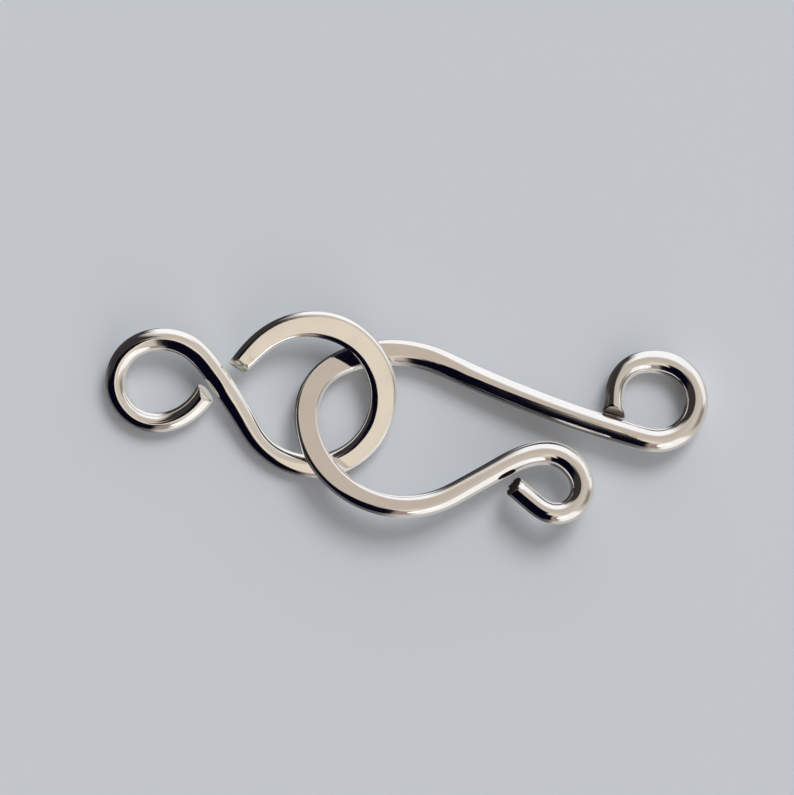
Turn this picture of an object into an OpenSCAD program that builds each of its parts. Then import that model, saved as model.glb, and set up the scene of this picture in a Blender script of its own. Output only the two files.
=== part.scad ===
// Hook-and-eye necklace clasp, bent by hand from two lengths of round wire, shown fastened and lying down.
// The eye piece is a small chain loop that runs on into a wide ring, hammered flat.
// The hook piece is a chain loop, a straight shank, a hammered bend and a curled tip.
// The drawing plane is seen from above: X to the right, Y up the picture, Z up from the table.

/* [Eye wire] */
// Diameter of the round wire of the eye piece
eye_wire = 0.80; // [0.70:0.05:0.85]
// Width of the hammered ring, seen from above
ring_width = 1.10; // [0.95:0.05:1.15]
// Thickness of the hammered ring
ring_thick = 0.46; // [0.40:0.02:0.50]
// Mean radius of the eye piece's chain loop
eye_loop_r = 1.63; // [1.60:0.01:1.68]
// Mean radius of the hammered ring
ring_r = 2.81; // [2.78:0.01:2.85]

/* [Hook wire] */
// Diameter of the round wire of the hook piece
hook_wire = 0.98; // [0.85:0.01:1.00]
// Thickness of the hammered hook bend
bend_thick = 0.78; // [0.70:0.02:0.80]
// Mean radius of the hook piece's chain loop
hook_loop_r = 1.55; // [1.53:0.01:1.57]
// Mean radius of the hook bend at its tight upper side
bend_top_r = 2.18; // [2.14:0.01:2.22]
// Mean radius of the hook bend at its wide lower side
bend_low_r = 3.99; // [3.94:0.01:4.04]
// Mean radius of the curled tip
curl_r = 1.02; // [1.00:0.01:1.05]

/* [Lying on the table] */
// How steeply the eye piece leans on the hook piece, in degrees
eye_tilt = 10.6; // [10.4:0.1:11.2]
// How steeply the hook piece leans on the eye piece, in degrees
hook_tilt = 9.6; // [9.5:0.1:10.3]

/* [Hidden] */

// Directions in the drawing plane, in degrees, in which each piece rises from the table
eye_rises = 76;
hook_rises = -92;

// Where each path starts, and the way it heads, in degrees from +X
eye_start = [-7.96, 1.06];
eye_heading = 242;
hook_start = [8.21, 0.11];
hook_heading = 88;

// A path is a chain of bends, one row each. Columns: turn in degrees, left is positive, and mean radius.
// A turn of 0 is a straight run, and its second column is its length.
TURN = 0;
RADIUS = 1;
EYE_BENDS = [
    [-52, 2.40],          // cut end of the chain loop, beside the crossing wire
    [-162, eye_loop_r],   // round the chain loop
    [-80, 2.11],          // over its top
    [-9, 21.40],          // down past its own cut end
    [229, ring_r],        // round the ring's lower and right side
    [54, 3.06],           // over its top
    [10, 8.00],           // out to the open tip
];
HOOK_BENDS = [
    [0, 0.87],            // foot of the chain loop, standing on the shank
    [-77, 1.29],          // up its left side
    [-28, 2.27],          // over its top
    [-179, hook_loop_r],  // down its right side and back under
    [-9, 54.50],          // shank
    [50, 5.00],           // start of the hook bend, where the ring lies over it
    [65, bend_top_r],     // upper left of the bend
    [34, 3.40],           // left of the bend, inside the ring
    [85, bend_low_r],     // lower side of the bend
    [0, 2.48],            // arm
    [-21, 3.69],          // rise to the curl
    [-84, 1.47],          // over the top of the curl
    [-144, curl_r],       // round the curl
    [0, 1.52],            // straight to its cut end
];

// A wire's section along its path, one row each. Columns: place along the path, width, thickness,
// width of the hammered flat, and how far the flat sits to the left of the middle.
ALONG = 0;
WIDTH = 1;
THICK = 2;
FLAT = 3;
LEAN = 4;
EYE_SECTIONS = [
    [0.0, eye_wire * 1.08, eye_wire * 0.98, 0, 0],
    [3.5, eye_wire * 0.95, eye_wire, 0, 0],
    [6.3, eye_wire * 1.05, eye_wire * 0.95, 0, 0],
    [9.1, eye_wire * 1.20, eye_wire * 0.83, eye_wire * 0.2, 0],
    [12.0, eye_wire * 1.12, eye_wire * 0.88, eye_wire * 0.1, 0],
    [14.2, eye_wire * 1.02, eye_wire * 0.98, 0, 0],
    [17.0, ring_width * 0.89, ring_thick * 1.17, ring_width * 0.44, -0.11],
    [18.9, ring_width * 0.96, ring_thick * 1.04, ring_width * 0.50, -0.13],
    [21.3, ring_width, ring_thick, ring_width * 0.58, -0.09],
    [24.2, ring_width * 1.02, ring_thick, ring_width * 0.64, -0.03],
    [26.1, ring_width * 0.89, ring_thick * 1.04, ring_width * 0.55, 0],
    [27.6, ring_width * 0.84, ring_thick * 1.04, ring_width * 0.46, 0.04],
    [28.6, ring_width * 0.74, ring_thick, ring_width * 0.36, 0.04],
];
HOOK_SECTIONS = [
    [0.0, hook_wire * 0.96, hook_wire * 0.88, 0, 0],
    [0.4, hook_wire * 0.76, hook_wire * 0.92, 0, 0],
    [1.6, hook_wire * 0.78, hook_wire * 0.92, 0, 0],
    [3.5, hook_wire, hook_wire * 0.96, 0, 0],
    [6.0, hook_wire * 0.96, hook_wire * 0.98, 0, 0],
    [12.7, hook_wire * 1.02, hook_wire, 0, 0],
    [15.8, hook_wire * 1.04, hook_wire * 0.97, hook_wire * 0.1, 0],
    [17.6, hook_wire * 1.08, bend_thick * 1.15, hook_wire * 0.35, 0],
    [19.2, hook_wire * 1.08, bend_thick * 1.10, hook_wire * 0.50, 0],
    [20.6, hook_wire * 1.02, bend_thick, hook_wire * 0.67, 0],
    [22.0, hook_wire * 0.96, bend_thick, hook_wire * 0.67, 0],
    [24.0, hook_wire, bend_thick, hook_wire * 0.69, 0],
    [26.0, hook_wire * 0.96, bend_thick, hook_wire * 0.65, 0],
    [28.4, hook_wire * 0.92, bend_thick * 1.02, hook_wire * 0.45, 0],
    [30.2, hook_wire * 0.94, hook_wire * 0.88, hook_wire * 0.25, 0],
    [33.2, hook_wire * 0.90, hook_wire * 0.94, hook_wire * 0.1, 0],
    [34.8, hook_wire * 0.94, hook_wire * 0.96, 0, 0],
    [37.2, hook_wire * 1.04, hook_wire * 0.94, 0, 0],
    [39.4, hook_wire * 0.90, hook_wire * 0.96, 0, 0],
    [41.9, hook_wire * 0.86, hook_wire * 0.96, 0, 0],
];

// How the first and the last end are cut, in degrees: how far the left side leans forward along
// the path, and how far the top side does
SLANT = 0;
BEVEL = 1;
EYE_CUTS = [[19, 8], [-8, -40]];
HOOK_CUTS = [[13, 0], [-8, -20]];

// Sides of the wire, spacing of its rings, and the reach over which cuts, bends and sections blend
wire_sides = 18;
ring_step = 0.22;
cut_blend = 0.9;
bend_blend = 0.4;
section_blend = 0.3;
blend_steps = 5;

// Length of one bend or straight run
function row_length(row) =
    row[TURN] == 0 ? row[RADIUS] : abs(row[TURN]) * PI / 180 * row[RADIUS];

// Table of the heading at each joint between bends: place along the path, heading
function heading_table(bends, heading) = [
    for (
        i = 0, at = 0, way = heading;
        i <= len(bends);
        at = at + (i < len(bends) ? row_length(bends[i]) : 0),
        way = way + (i < len(bends) ? bends[i][TURN] : 0),
        i = i + 1
    ) [at, way]
];

// Column of a table, as pairs for lookup
function column(table, which) = [for (row = table) [row[ALONG], row[which]]];

function total(values, i = 0) = i < len(values) ? values[i] + total(values, i + 1) : 0;

// Value of a table at a place, averaged over a short reach so that bends run into each other smoothly
function blended(place, pairs, reach) =
    total([
        for (k = [-blend_steps:blend_steps]) lookup(place + k * reach / blend_steps, pairs)
    ]) / (2 * blend_steps + 1);

// Points of the path in the drawing plane
function path_points(start, headings, count, spacing) = [
    for (
        i = 0, point = start;
        i <= count;
        way = blended((i + 0.5) * spacing, headings, bend_blend),
        point = point + spacing * [cos(way), sin(way)],
        i = i + 1
    ) point
];

function unit(v) = v / norm(v);

// The plane of a piece rises in one direction: its height at a point, and its normal
function slope(tilt, rises) = tan(tilt) * [cos(rises), sin(rises)];

function raised(point, incline) = [point.x, point.y, point * incline];

function plane_normal(incline) = unit([-incline.x, -incline.y, 1]);

// How far a slanted or bevelled cut moves a point along the wire
function cut_shift(cut, across, height) = tan(cut[SLANT]) * across + tan(cut[BEVEL]) * height;

// Outlines of the section along the path, one list of points a place, before the piece is set down
function wire_rings(start, heading, bends, sections, cuts, incline) =
    let (
        headings = heading_table(bends, heading),
        reach = headings[len(bends)][0],
        count = round(reach / ring_step),
        spacing = reach / count,
        plan = path_points(start, headings, count, spacing),
        middle = [for (point = plan) raised(point, incline)],
        up = plane_normal(incline),
        widths = column(sections, WIDTH),
        thicks = column(sections, THICK),
        flats = column(sections, FLAT),
        leans = column(sections, LEAN)
    ) [
        for (i = [0:count])
            let (
                place = i * spacing,
                width = blended(place, widths, section_blend),
                thick = blended(place, thicks, section_blend),
                flat = blended(place, flats, section_blend),
                lean = blended(place, leans, section_blend),
                along = unit(middle[min(i + 1, count)] - middle[max(i - 1, 0)]),
                side = unit(cross(up, along)),
                first_share = max(0, 1 - place / cut_blend),
                last_share = max(0, 1 - (reach - place) / cut_blend)
            ) [
                for (k = [0:wire_sides - 1])
                    let (
                        angle = 360 * (k + 0.5) / wire_sides,
                        hand = sign(cos(angle)),
                        across = hand * flat / 2 + lean + ((width - flat) / 2 - hand * lean) * cos(angle),
                        above = thick / 2 * sin(angle) / cos(180 / wire_sides),
                        height = above + thick / 2,
                        shift = first_share * cut_shift(cuts[0], across, height)
                            + last_share * cut_shift(cuts[1], across, height)
                    ) middle[i] + across * side + above * up + shift * along
            ]
    ];

eye_rings = wire_rings(
    eye_start, eye_heading, EYE_BENDS, EYE_SECTIONS, EYE_CUTS, slope(eye_tilt, eye_rises)
);
hook_rings = wire_rings(
    hook_start, hook_heading, HOOK_BENDS, HOOK_SECTIONS, HOOK_CUTS, slope(hook_tilt, hook_rises)
);

// Middle of the fastened clasp, seen from above, which becomes the origin
function midway(values) = (min(values) + max(values)) / 2;
all_points = [for (ring = concat(eye_rings, hook_rings)) each ring];
middle_x = midway([for (point = all_points) point.x]);
middle_y = midway([for (point = all_points) point.y]);

// One wire as a closed solid, set down so that its lowest point touches the table
module wire(rings) {
    points = [for (ring = rings) each ring];
    floor_z = min([for (point = points) point.z]);
    last = (len(rings) - 1) * wire_sides;
    walls = [
        for (i = [0:len(rings) - 2], k = [0:wire_sides - 1])
            let (
                a = i * wire_sides + k,
                b = i * wire_sides + (k + 1) % wire_sides
            ) each [[a, a + wire_sides, b], [b, a + wire_sides, b + wire_sides]]
    ];
    first_cap = [for (k = [0:wire_sides - 1]) k];
    last_cap = [for (k = [wire_sides - 1:-1:0]) last + k];
    translate([-middle_x, -middle_y, -floor_z])
        polyhedron(points = points, faces = concat(walls, [first_cap, last_cap]));
}

module eye() {
    color([0.80, 0.77, 0.73]) wire(eye_rings);
}

module hook() {
    color([0.76, 0.73, 0.69]) wire(hook_rings);
}

eye();
hook();
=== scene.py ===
"""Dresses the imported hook-and-eye clasp: two polished silver wires on a pale floor in soft studio light."""
import math

import bpy
import numpy as np
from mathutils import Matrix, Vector, noise


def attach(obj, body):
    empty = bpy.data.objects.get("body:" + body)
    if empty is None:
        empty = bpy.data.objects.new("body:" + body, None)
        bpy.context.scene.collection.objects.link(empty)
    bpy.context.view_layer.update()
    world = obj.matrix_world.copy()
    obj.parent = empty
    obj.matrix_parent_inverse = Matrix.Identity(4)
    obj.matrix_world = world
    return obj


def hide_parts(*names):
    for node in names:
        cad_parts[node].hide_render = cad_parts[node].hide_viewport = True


MM = 0.001

# The camera, which looks straight down
PHOTO_SIZE = (794, 795)
PIXELS_PER_MM = 25.2
VIEW_CENTRE = (-0.388 * MM, 0.797 * MM)  # the point under the middle of the picture
VIEW_LEVEL = 0.9 * MM  # the height at which PIXELS_PER_MM holds
LENS = 200.0
SENSOR = 36.0
CLIP = (0.001, 10.0)  # the nearest and the farthest that it sees

# The two wires, in millimetres and degrees, as in the CAD source.
# Bends: turn (left is positive) and mean radius; a turn of 0 is a straight run of that length.
# Sections: place along the path, width, thickness, width of the hammered flat, and its lean to the left.
# Cuts of the first and the last end: slant and bevel.
EYE_WIRE = 0.80
RING_WIDTH = 1.10
RING_THICK = 0.46
HOOK_WIRE = 0.98
BEND_THICK = 0.78
EYE = {
    "start": (-7.96, 1.06),
    "heading": 242,
    "tilt": 10.6,
    "rises": 76,
    "bends": [
        (-52, 2.40), (-162, 1.63), (-80, 2.11), (-9, 21.40), (229, 2.81), (54, 3.06), (10, 8.00),
    ],
    "sections": [
        (0.0, EYE_WIRE * 1.08, EYE_WIRE * 0.98, 0, 0),
        (3.5, EYE_WIRE * 0.95, EYE_WIRE, 0, 0),
        (6.3, EYE_WIRE * 1.05, EYE_WIRE * 0.95, 0, 0),
        (9.1, EYE_WIRE * 1.20, EYE_WIRE * 0.83, EYE_WIRE * 0.2, 0),
        (12.0, EYE_WIRE * 1.12, EYE_WIRE * 0.88, EYE_WIRE * 0.1, 0),
        (14.2, EYE_WIRE * 1.02, EYE_WIRE * 0.98, 0, 0),
        (17.0, RING_WIDTH * 0.89, RING_THICK * 1.17, RING_WIDTH * 0.44, -0.11),
        (18.9, RING_WIDTH * 0.96, RING_THICK * 1.04, RING_WIDTH * 0.50, -0.13),
        (21.3, RING_WIDTH, RING_THICK, RING_WIDTH * 0.58, -0.09),
        (24.2, RING_WIDTH * 1.02, RING_THICK, RING_WIDTH * 0.64, -0.03),
        (26.1, RING_WIDTH * 0.89, RING_THICK * 1.04, RING_WIDTH * 0.55, 0),
        (27.6, RING_WIDTH * 0.84, RING_THICK * 1.04, RING_WIDTH * 0.46, 0.04),
        (28.6, RING_WIDTH * 0.74, RING_THICK, RING_WIDTH * 0.36, 0.04),
    ],
    "cuts": [(19, 8), (-8, -40)],
    # Slight flats that the forming left: places between which each runs, its angle round the wire (0 is the
    # top, positive to the left) and its depth
    "facets": [(1.7, 5.4, 18, 0.009), (6.5, 11.8, -8, 0.023), (10.4, 13.0, -12, 0.014)],
    # Dents in the top: place, how far to the left, reach and depth
    "dents": [
        (18.6, -0.10, 0.6, 0.008), (21.5, 0.05, 0.7, 0.008), (23.4, -0.10, 0.6, 0.008), (26.6, 0, 0.8, 0.003),
        (28.2, 0.08, 0.5, 0.004),
    ],
    # Dressing of the first and the last cut end: radius of the rounded edge, length and depth of the chamfer
    # on its top, over which it is duller too, and how ragged the cut is
    "ends": [(0.06, 0.18, 0.08, 0.04), (0.05, 0.24, 0.0, 0.06)],
}
HOOK = {
    "start": (8.21, 0.11),
    "heading": 88,
    "tilt": 9.6,
    "rises": -92,
    "bends": [
        (0, 0.87), (-77, 1.29), (-28, 2.27), (-179, 1.55), (-9, 54.50), (50, 5.00), (65, 2.18),
        (34, 3.40), (85, 3.99), (0, 2.48), (-21, 3.69), (-84, 1.47), (-144, 1.02), (0, 1.52),
    ],
    "sections": [
        (0.0, HOOK_WIRE * 0.96, HOOK_WIRE * 0.88, 0, 0),
        (0.4, HOOK_WIRE * 0.76, HOOK_WIRE * 0.92, 0, 0),
        (1.6, HOOK_WIRE * 0.78, HOOK_WIRE * 0.92, 0, 0),
        (3.5, HOOK_WIRE, HOOK_WIRE * 0.96, 0, 0),
        (6.0, HOOK_WIRE * 0.96, HOOK_WIRE * 0.98, 0, 0),
        (12.7, HOOK_WIRE * 1.02, HOOK_WIRE, 0, 0),
        (15.8, HOOK_WIRE * 1.04, HOOK_WIRE * 0.97, HOOK_WIRE * 0.1, 0),
        (17.6, HOOK_WIRE * 1.08, BEND_THICK * 1.15, HOOK_WIRE * 0.35, 0),
        (19.2, HOOK_WIRE * 1.08, BEND_THICK * 1.10, HOOK_WIRE * 0.50, 0),
        (20.6, HOOK_WIRE * 1.02, BEND_THICK, HOOK_WIRE * 0.67, 0),
        (22.0, HOOK_WIRE * 0.96, BEND_THICK, HOOK_WIRE * 0.67, 0),
        (24.0, HOOK_WIRE, BEND_THICK, HOOK_WIRE * 0.69, 0),
        (26.0, HOOK_WIRE * 0.96, BEND_THICK, HOOK_WIRE * 0.65, 0),
        (28.4, HOOK_WIRE * 0.92, BEND_THICK * 1.02, HOOK_WIRE * 0.45, 0),
        (30.2, HOOK_WIRE * 0.94, HOOK_WIRE * 0.88, HOOK_WIRE * 0.25, 0),
        (33.2, HOOK_WIRE * 0.90, HOOK_WIRE * 0.94, HOOK_WIRE * 0.1, 0),
        (34.8, HOOK_WIRE * 0.94, HOOK_WIRE * 0.96, 0, 0),
        (37.2, HOOK_WIRE * 1.04, HOOK_WIRE * 0.94, 0, 0),
        (39.4, HOOK_WIRE * 0.90, HOOK_WIRE * 0.96, 0, 0),
        (41.9, HOOK_WIRE * 0.86, HOOK_WIRE * 0.96, 0, 0),
    ],
    "cuts": [(13, 0), (-8, -20)],
    "facets": [(8.5, 17.8, 26, 0.023), (15.6, 20.2, 30, 0.035), (26.8, 30.1, -34, 0.030)],
    "dents": [(22.9, 0, 0.6, 0.008), (25.0, 0.05, 0.6, 0.008), (41.75, -0.22, 0.20, 0.05)],
    # Over the hook's cut ends and their chamfers the silver is painted dark, a painted shade
    "ends": [(0.04, 0.34, 0.36, 0.0), (0.03, 0.10, 0.06, 0.10)],
    # The hammer's first blow on the bend: where the top steps down, how far it slants across the wire,
    # how long and deep the step is, and over what length the top comes back up
    "step": {"place": 20.62, "slant": -0.76, "length": 0.72, "depth": 0.175, "recovery": 2.6},
}

# How far bends, sections and cuts blend along the wire, in millimetres, as in the CAD source
BEND_BLEND = 0.4
SECTION_BLEND = 0.3
CUT_BLEND = 0.9
BLEND_STEPS = 5
CAD_SIDES = 18

# Fineness of the dressed wires
SPACING = 0.05  # between the outlines, in millimetres
SIDES = 72  # points round each outline
DRAWN_FINER = 8  # times finer that an outline is drawn before its points are spread evenly
SHARP_ANGLE = 40  # angle between faces from which their edge is sharp, in degrees

# The marks of handwork, in millimetres
FACET_BLEND = 1.2  # length over which a slight flat fades in
FACET_FLATNESS = 0.92  # 1 is fully flat
UNEVEN = 0.006  # how far the surface is uneven, inwards only
UNEVEN_ALONG = 0.8  # how quickly that varies along the wire
UNEVEN_AROUND = 0.5  # how quickly that varies round it
FULLY_HAMMERED = 0.6  # share of the width that is flat where the wire counts as fully hammered

# The cut ends, in millimetres and degrees
RAGGED_REACH = 0.2  # how far back from a cut its edge is ragged
RAGGED_FINENESS = 9  # scale of the noise that makes it so
EDGE_ANGLES = (0, 30, 60, 90)  # steps of the rounded edge
FACE_RINGS = (0.85, 0.7, 0.55, 0.4, 0.25, 0.12)  # sizes of the cut face's rings, as shares of its rim
RIM_SMOOTHING = 3  # points each way over which a ring smooths the ragged rim
FACE_UNEVEN = 0.03  # how far the cut face is uneven
FACE_FINENESS = 6  # scale of the noise that makes it so
DULL_GAIN = 2.2  # DULL_GAIN = 2.2 # how steeply the dullness, and on the hook the painted shade, fades along the chamfer: at 1 it is full at the cut alone

# The silver of each wire, polished and where it is cut; the hook's cut tone is painted shade, dark over its
# cut ends and their chamfers
TONES = {"eye": (0.93, 0.91, 0.88), "hook": (0.91, 0.89, 0.86)}
CUT_TONES_AND_SHADE = {"eye": (0.95, 0.92, 0.86), "hook": (0.13, 0.10, 0.09)}

# Its finish, per metre and in metres
CLOUDS = {"Scale": 900.0, "Detail": 3.0}
CLOUD_SHADE = 0.93  # the darkest cloud, as a share of the tone
POLISH = {"From Min": 0.3, "From Max": 0.7, "To Min": 0.04, "To Max": 0.09}  # from cloud to roughness
HAMMERED_ROUGHNESS = 0.03  # what hammering adds
CUT_ROUGHNESS = 0.32
SCRATCHES = {"Scale": 14000.0, "Detail": 4.0}
RELIEF = {"Strength": 0.12, "Distance": 0.000004}  # of the scratches

# The studio that the wires mirror: a plain sky with cards of light and dark, one over another. Columns: the
# azimuths and the angles from straight up between which a card stands, the softness of its edges (all in
# degrees), and its colour. Cards beyond 90 degrees stand for the table round the clasp.
SKY = (0.62, 0.565, 0.51)
CARDS = {
    "table": (-200, 200, 108, 300, 12, (0.56, 0.55, 0.54)),
    "table_shade": (108, 262, 80, 300, 8, (0.12, 0.117, 0.118)),
    "table_dark": (98, 168, 84, 300, 7, (0.05, 0.047, 0.047)),
    "hook_card": (48, 125, 8, 36, 7, (0.58, 0.505, 0.435)),
    "ring_card": (240, 285, 11, 30, 4, (0.81, 0.725, 0.61)),
    "brown_card": (120, 200, 14, 100, 7, (0.038, 0.034, 0.035)),
    "dark_card": (190, 262, 30, 93, 4, (0.002, 0.002, 0.008)),
    "dark_card_foot": (190, 250, 60, 112, 6, (0.002, 0.002, 0.008)),
    "dark_card_top": (178, 243, 10, 40, 3, (0.002, 0.002, 0.008)),
    "brown_edge": (261, 276, 42, 92, 4, (0.34, 0.26, 0.235)),
    "grey_card": (-24, 8, 50, 92, 9, (0.29, 0.27, 0.225)),
    "white_box": (55, 107, 46, 134, 8, (1.05, 1.06, 1.10)),
    "white_side": (24, 62, 60, 118, 8, (1.02, 1.03, 1.05)),
    "white_edge": (5, 34, 70, 106, 6, (0.97, 0.96, 0.95)),
    "white_low": (277, 320, 34, 104, 6, (1.03, 1.01, 1.0)),
    "lamp_one": (273, 281, 56, 63, 1.5, (3.0, 2.9, 2.8)),
    "lamp_two": (287, 295, 54, 61, 1.5, (3.0, 2.9, 2.8)),
}

# What the camera sees directly beyond the floor, the sun (in degrees) and the floor (in metres)
BACKDROP = (0.58, 0.61, 0.645)
SUN_AZIMUTH = 60
SUN_FROM_TOP = 42
SUN_STRENGTH = 1.3
SUN_SIZE = 25
FLOOR_COLOUR = (0.70, 0.76, 0.83, 1)
FLOOR_ROUGHNESS = 0.9
FLOOR_SIZE = 2.0


def unit(vectors):
    return vectors / np.linalg.norm(vectors, axis=-1, keepdims=True)


def blended(places, table_places, values, reach):
    """Values looked up along the wire, averaged over a short reach."""
    shifts = np.arange(-BLEND_STEPS, BLEND_STEPS + 1) * reach / BLEND_STEPS
    return np.mean([np.interp(places + shift, table_places, values) for shift in shifts], axis=0)


def wire_path(wire):
    """Points of the wire's middle in the plan, and their places along it, in millimetres."""
    lengths = [length if turn == 0 else math.radians(abs(turn)) * length for turn, length in wire["bends"]]
    joints = np.concatenate([[0], np.cumsum(lengths)])
    headings = np.concatenate([[0], np.cumsum([turn for turn, _ in wire["bends"]])]) + wire["heading"]
    count = round(joints[-1] / SPACING)
    step = joints[-1] / count
    ways = np.radians(blended((np.arange(count) + 0.5) * step, joints, headings, BEND_BLEND))
    steps = step * np.column_stack([np.cos(ways), np.sin(ways)])
    points = np.array(wire["start"]) + np.vstack([[0, 0], np.cumsum(steps, axis=0)])
    return points, np.arange(count + 1) * step


def even_outline(across, above):
    """The closed outline of a section, with its points spread evenly round it."""
    across, above = np.append(across, across[0]), np.append(above, above[0])
    run = np.concatenate([[0], np.cumsum(np.hypot(np.diff(across), np.diff(above)))])
    stops = np.arange(SIDES) / SIDES * run[-1]
    return np.interp(stops, run, across), np.interp(stops, run, above)


def smooth(share):
    """A share between 0 and 1, with a soft start and end."""
    share = np.clip(share, 0, 1)
    return share * share * (3 - 2 * share)


def stepped(step, place, across, above, half):
    """The section's heights after the hammer's first blow. Only its upper half sinks."""
    past = place - step["place"] - step["slant"] * across
    drop = np.clip(past / step["length"], 0, 1)
    sunk = step["depth"] * drop * (1 - smooth((past - step["length"]) / step["recovery"]))
    return above - sunk * np.clip(above / half, 0, 1)


def flattened(facet, place, across, above):
    """The section with one slight flat, which limits how far it reaches in the flat's direction."""
    first, last, angle, depth = facet
    left, upward = math.sin(math.radians(angle)), math.cos(math.radians(angle))
    reach = across * left + above * upward
    depth = depth * smooth(min(place - first, last - place) / FACET_BLEND)
    over = np.maximum(0, reach - reach.max() + depth) * FACET_FLATNESS
    return across - left * over, above - upward * over


def worn(place, across, above, thick):
    """The section with the surface's slight unevenness, inwards only."""
    around = np.arange(SIDES) / SIDES * 2 * math.pi
    scale = 1 - UNEVEN / thick * np.array([
        1 + noise.noise((place * UNEVEN_ALONG, UNEVEN_AROUND * math.cos(a), UNEVEN_AROUND * math.sin(a)))
        for a in around
    ])
    return across * scale, above * scale


def dented(dent, place, across, above, half):
    """The section's heights with one shallow dent in the top."""
    at, left, reach, depth = dent
    near = np.clip(1 - ((place - at) ** 2 + (across - left) ** 2) / reach**2, 0, 1)
    return above - depth * near * near * np.clip(above / half, 0, 1)


def dressed_end(distance, cut, end, place, across, above, half):
    """The heights under an end's chamfer, and how far its slant, bevel and raggedness shift the points."""
    slant, bevel = cut
    _, length, depth, ragged = end
    above = np.minimum(above, half - depth * max(0, 1 - distance / length))
    slope = math.tan(math.radians(slant)) * across + math.tan(math.radians(bevel)) * (above + half)
    torn = np.array([
        noise.noise((RAGGED_FINENESS * x, RAGGED_FINENESS * z, place)) for x, z in zip(across, above)
    ])
    shift = max(0, 1 - distance / CUT_BLEND) * slope + ragged * max(0, 1 - distance / RAGGED_REACH) * torn
    return above, shift


def wire_outlines(wire):
    """Outlines of the section along the wire, in millimetres, and how far each is hammered."""
    plan, places = wire_path(wire)
    incline = math.tan(math.radians(wire["tilt"])) * np.array(
        [math.cos(math.radians(wire["rises"])), math.sin(math.radians(wire["rises"]))]
    )
    middle = np.column_stack([plan, plan @ incline])
    along = unit(np.gradient(middle, axis=0))
    up = unit(np.array([-incline[0], -incline[1], 1.0]))
    side = unit(np.cross(up, along))
    table = np.array(wire["sections"], float)
    width, thick, flat, lean = (blended(places, table[:, 0], table[:, k], SECTION_BLEND) for k in range(1, 5))
    corner = math.cos(math.pi / CAD_SIDES)
    angles = np.linspace(0, 2 * math.pi, DRAWN_FINER * SIDES, endpoint=False)
    hand = np.where(np.cos(angles) >= 0, 1, -1)
    outlines = []
    for i, place in enumerate(places):
        half = thick[i] / 2
        reach = (width[i] - flat[i]) / 2 - hand * lean[i]
        across, above = even_outline(
            hand * flat[i] / 2 + lean[i] + reach * np.cos(angles) * corner,
            half * np.sin(angles),
        )
        if "step" in wire:
            above = stepped(wire["step"], place, across, above, half)
        for facet in wire["facets"]:
            across, above = flattened(facet, place, across, above)
        across, above = worn(place, across, above, thick[i])
        for dent in wire["dents"]:
            above = dented(dent, place, across, above, half)
        shift = np.zeros(SIDES)
        for distance, cut, end in zip((place, places[-1] - place), wire["cuts"], wire["ends"]):
            above, moved = dressed_end(distance, cut, end, place, across, above, half)
            shift += moved
        outlines.append(
            middle[i] + np.outer(across, side[i]) + np.outer(above, up) + np.outer(shift, along[i])
        )
    outlines = np.array(outlines)
    outlines[..., 2] -= outlines[..., 2].min()
    return outlines, np.clip(flat / width / FULLY_HAMMERED, 0, 1)


def cut_end(outlines, radius):
    """Rings that close a wire, from the body to the middle of its cut face. The outlines start at the cut."""
    rings = []
    for turn in np.radians(EDGE_ANGLES):
        back = radius * (1 - math.sin(turn)) / SPACING
        i = int(back)
        ring = outlines[i] + (outlines[i + 1] - outlines[i]) * (back - i)
        arms = ring - ring.mean(axis=0)
        inset = (1 - math.cos(turn)) * radius / np.linalg.norm(arms, axis=1, keepdims=True)
        rings.append(ring.mean(axis=0) + arms * (1 - inset))
    rim = rings[-1]
    centre = rim.mean(axis=0)
    outward = unit(outlines[0].mean(axis=0) - outlines[1].mean(axis=0))
    shifts = range(-RIM_SMOOTHING, RIM_SMOOTHING + 1)
    for share in FACE_RINGS:
        rim = np.mean([np.roll(rim, shift, axis=0) for shift in shifts], axis=0)
        ring = centre + (rim - centre) * share
        bumps = np.array([noise.noise(Vector(point * FACE_FINENESS)) for point in ring])
        rings.append(ring + np.outer(FACE_UNEVEN * (bumps - 0.5) * (1 - share), outward))
    return rings


def wire_piece(node, body, ends, outlines, hammered):
    """One wire as a mesh that stands for its CAD node and rides on its body."""
    name, slot = f"{node}_wire", f"{node}_silver"
    first, last = cut_end(outlines, ends[0][0]), cut_end(outlines[::-1], ends[1][0])
    drop_first, drop_last = (math.ceil(end[0] / SPACING) for end in ends)
    kept = slice(drop_first + 1, -drop_last - 1)
    rings = first[::-1] + list(outlines[kept]) + last
    points = np.vstack(rings + [[first[-1].mean(axis=0)], [last[-1].mean(axis=0)]])
    hub = len(rings) * SIDES
    rim = hub - SIDES
    pairs = [(j, (j + 1) % SIDES) for j in range(SIDES)]
    faces = [(a + j, a + k, a + SIDES + k, a + SIDES + j) for a in range(0, rim, SIDES) for j, k in pairs]
    faces += [(k, j, hub) for j, k in pairs]
    faces += [(rim + j, rim + k, hub + 1) for j, k in pairs]
    mesh = bpy.data.meshes.new(name)
    mesh.from_pydata((points * MM).tolist(), [], faces)
    mesh.update()
    hammer = np.concatenate([np.zeros(len(first)), hammered[kept], np.zeros(len(last))])
    inward = (np.arange(len(rings)) - len(FACE_RINGS) - 1) * SPACING
    # How far each ring lies within a cut end's chamfer: duller there, and on the hook painted dark, a painted
    # shade
    cut = np.clip(DULL_GAIN * np.maximum(1 - inward / ends[0][1], 1 - inward[::-1] / ends[1][1]), 0, 1)
    for label, values, hubs in (("hammered", hammer, 0), ("cut", cut, 1)):
        layer = mesh.attributes.new(label, "FLOAT", "POINT")
        layer.data.foreach_set("value", np.append(np.repeat(values, SIDES), [hubs, hubs]).astype(np.float32))
    mesh.shade_smooth()
    mesh.set_sharp_from_angle(angle=math.radians(SHARP_ANGLE))
    mesh.materials.append(polished_silver(slot, TONES[node], CUT_TONES_AND_SHADE[node]))
    piece = bpy.data.objects.new(name, mesh)
    bpy.context.scene.collection.objects.link(piece)
    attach(piece, body)
    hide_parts(node)


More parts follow.
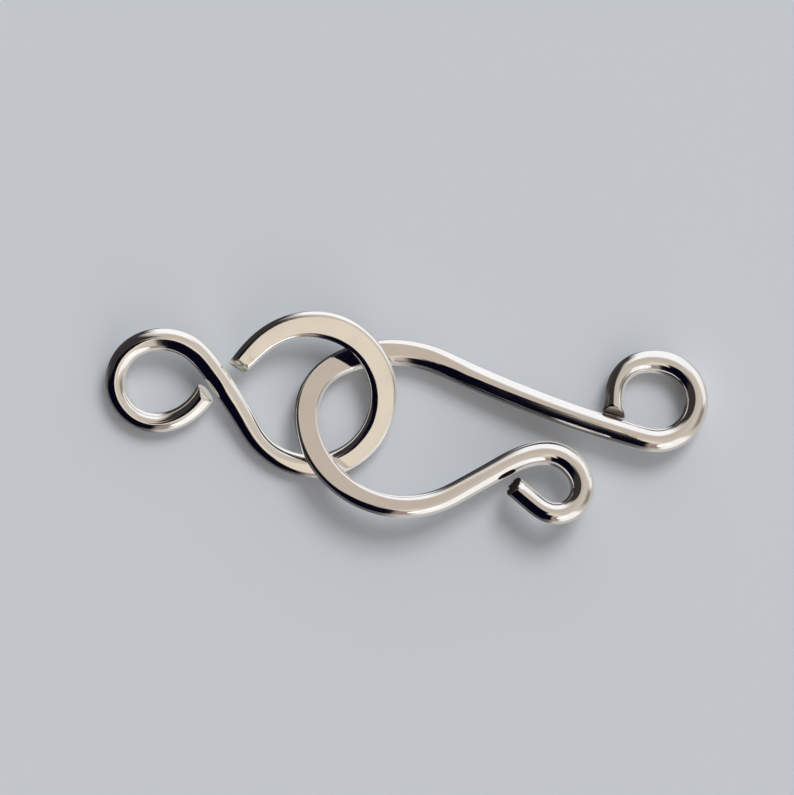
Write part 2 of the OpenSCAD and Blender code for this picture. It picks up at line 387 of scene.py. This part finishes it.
def add(tree, kind, inputs=None, **settings):
    """A node with its settings, and its inputs set to values or linked from sockets."""
    made = tree.nodes.new(kind)
    for name, value in settings.items():
        setattr(made, name, value)
    for key, value in (inputs or {}).items():
        if isinstance(value, bpy.types.NodeSocket):
            tree.links.new(value, made.inputs[key])
        else:
            made.inputs[key].default_value = value
    return made


def worked(tree, operation, *values):
    """The result of a maths node on numbers or sockets."""
    return add(tree, "ShaderNodeMath", dict(enumerate(values)), operation=operation).outputs[0]


def mixed(tree, share, first, second, kind="RGBA"):
    """The result of a node that mixes two colours, or two numbers where the kind is FLOAT."""
    inputs = {"Factor": share, "A": first, "B": second}
    return add(tree, "ShaderNodeMix", inputs, data_type=kind).outputs["Result"]


def polished_silver(name, tone, cut_tone_and_shade):
    """Polished silver with fine scratches, a little duller where it is hammered and duller still where cut,
    where it takes the cut tone, which on the hook is painted shade.
    """
    material = bpy.data.materials.new(name)
    material.use_nodes = True
    tree = material.node_tree
    shader = tree.nodes["Principled BSDF"]
    place = add(tree, "ShaderNodeTexCoord").outputs["Object"]
    hammered = add(tree, "ShaderNodeAttribute", attribute_name="hammered").outputs["Fac"]
    cut = add(tree, "ShaderNodeAttribute", attribute_name="cut").outputs["Fac"]
    cloudy = add(tree, "ShaderNodeTexNoise", {"Vector": place, **CLOUDS}).outputs["Fac"]
    scratched = add(tree, "ShaderNodeTexNoise", {"Vector": place, **SCRATCHES}).outputs["Fac"]
    clouded = [channel * CLOUD_SHADE for channel in tone]
    tint = mixed(tree, cloudy, (*tone, 1), (*clouded, 1))
    polish = add(tree, "ShaderNodeMapRange", {"Value": cloudy, **POLISH}).outputs["Result"]
    uncut = worked(tree, "ADD", polish, worked(tree, "MULTIPLY", hammered, HAMMERED_ROUGHNESS))
    bump = add(tree, "ShaderNodeBump", {"Height": scratched, **RELIEF})
    tree.links.new(mixed(tree, cut, tint, (*cut_tone_and_shade, 1)), shader.inputs["Base Color"])
    tree.links.new(mixed(tree, cut, uncut, CUT_ROUGHNESS, "FLOAT"), shader.inputs["Roughness"])
    tree.links.new(bump.outputs["Normal"], shader.inputs["Normal"])
    shader.inputs["Metallic"].default_value = 1.0
    return material


def direction(azimuth, from_top):
    """Unit vector to a point of the sky: azimuth from +X to +Y, and angle from straight up, in degrees."""
    turn, lean = math.radians(azimuth), math.radians(from_top)
    return Vector((math.sin(lean) * math.cos(turn), math.sin(lean) * math.sin(turn), math.cos(lean)))


def within(tree, angle, start, end, soft):
    """1 where an angle lies between two others, 0 outside, with a soft edge. The angle wraps round."""
    off = worked(tree, "SUBTRACT", angle, (start + end) / 2)
    size = worked(tree, "ABSOLUTE", worked(tree, "WRAP", off, 180.0, -180.0))
    half = (end - start) / 2
    return add(
        tree, "ShaderNodeMapRange",
        {"Value": size, "From Min": half - soft, "From Max": half + soft, "To Min": 1.0, "To Max": 0.0},
        interpolation_type="SMOOTHSTEP",
    ).outputs["Result"]


def studio():
    """The sky with its cards, which the wires mirror, a plain backdrop for the camera, and the sun."""
    world = bpy.data.worlds.new("studio")
    bpy.context.scene.world = world
    world.use_nodes = True
    tree = world.node_tree
    place = add(tree, "ShaderNodeTexCoord").outputs["Generated"]
    sky = add(tree, "ShaderNodeSeparateXYZ", {0: place}).outputs
    azimuth = worked(tree, "DEGREES", worked(tree, "ARCTAN2", sky["Y"], sky["X"]))
    from_top = worked(tree, "DEGREES", worked(tree, "ARCCOSINE", sky["Z"]))
    colour = add(tree, "ShaderNodeRGB").outputs[0]
    colour.default_value = (*SKY, 1)
    for first, last, high, low, soft, tone in CARDS.values():
        across = within(tree, azimuth, first, last, soft)
        down = within(tree, from_top, high, low, soft)
        colour = mixed(tree, worked(tree, "MULTIPLY", across, down), colour, (*tone, 1))
    seen = add(tree, "ShaderNodeLightPath").outputs["Is Camera Ray"]
    colour = mixed(tree, seen, colour, (*BACKDROP, 1))
    tree.links.new(colour, tree.nodes["Background"].inputs["Color"])

    sun = bpy.data.lights.new("sun", "SUN")
    sun.energy = SUN_STRENGTH
    sun.angle = math.radians(SUN_SIZE)
    lamp = bpy.data.objects.new("sun", sun)
    lamp.rotation_mode = "QUATERNION"
    lamp.rotation_quaternion = direction(SUN_AZIMUTH, SUN_FROM_TOP).to_track_quat("Z", "Y")
    lamp.visible_glossy = False
    bpy.context.scene.collection.objects.link(lamp)


def floor():
    """A plain square floor at z = 0, which the wires don't mirror."""
    material = bpy.data.materials.new("floor")
    material.use_nodes = True
    shader = material.node_tree.nodes["Principled BSDF"]
    shader.inputs["Base Color"].default_value = FLOOR_COLOUR
    shader.inputs["Roughness"].default_value = FLOOR_ROUGHNESS
    half = FLOOR_SIZE / 2
    corners = [(-half, -half, 0), (half, -half, 0), (half, half, 0), (-half, half, 0)]
    mesh = bpy.data.meshes.new("floor")
    mesh.from_pydata(corners, [], [(0, 1, 2, 3)])
    mesh.materials.append(material)
    plane = bpy.data.objects.new("floor", mesh)
    plane.visible_glossy = False
    bpy.context.scene.collection.objects.link(plane)


def camera():
    """The photo's view, from straight above."""
    data = bpy.data.cameras.new("camera")
    data.lens = LENS
    data.sensor_width = SENSOR
    data.clip_start, data.clip_end = CLIP
    view_size = max(PHOTO_SIZE) / PIXELS_PER_MM * MM
    eye = bpy.data.objects.new("camera", data)
    eye.location = (*VIEW_CENTRE, VIEW_LEVEL + view_size * LENS / SENSOR)
    bpy.context.scene.collection.objects.link(eye)
    bpy.context.scene.camera = eye


def clasp():
    """Both wires, centred over the origin as the CAD model is."""
    wires = {"eye": EYE, "hook": HOOK}
    made = {node: wire_outlines(wire) for node, wire in wires.items()}
    everything = np.vstack([outlines.reshape(-1, 3) for outlines, _ in made.values()])
    middle = (everything.min(axis=0) + everything.max(axis=0)) / 2
    for node, (outlines, hammered) in made.items():
        outlines[..., :2] -= middle[:2]
        wire_piece(node, node, wires[node]["ends"], outlines, hammered)


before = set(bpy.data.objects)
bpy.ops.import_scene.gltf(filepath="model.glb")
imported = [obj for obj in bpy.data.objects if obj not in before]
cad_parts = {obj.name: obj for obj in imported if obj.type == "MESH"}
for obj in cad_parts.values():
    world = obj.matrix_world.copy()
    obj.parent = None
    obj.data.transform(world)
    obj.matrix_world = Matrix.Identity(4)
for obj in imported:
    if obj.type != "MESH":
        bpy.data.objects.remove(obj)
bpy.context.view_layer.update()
bpy.context.scene.view_settings.view_transform = "Standard"
camera()
studio()
floor()
clasp()
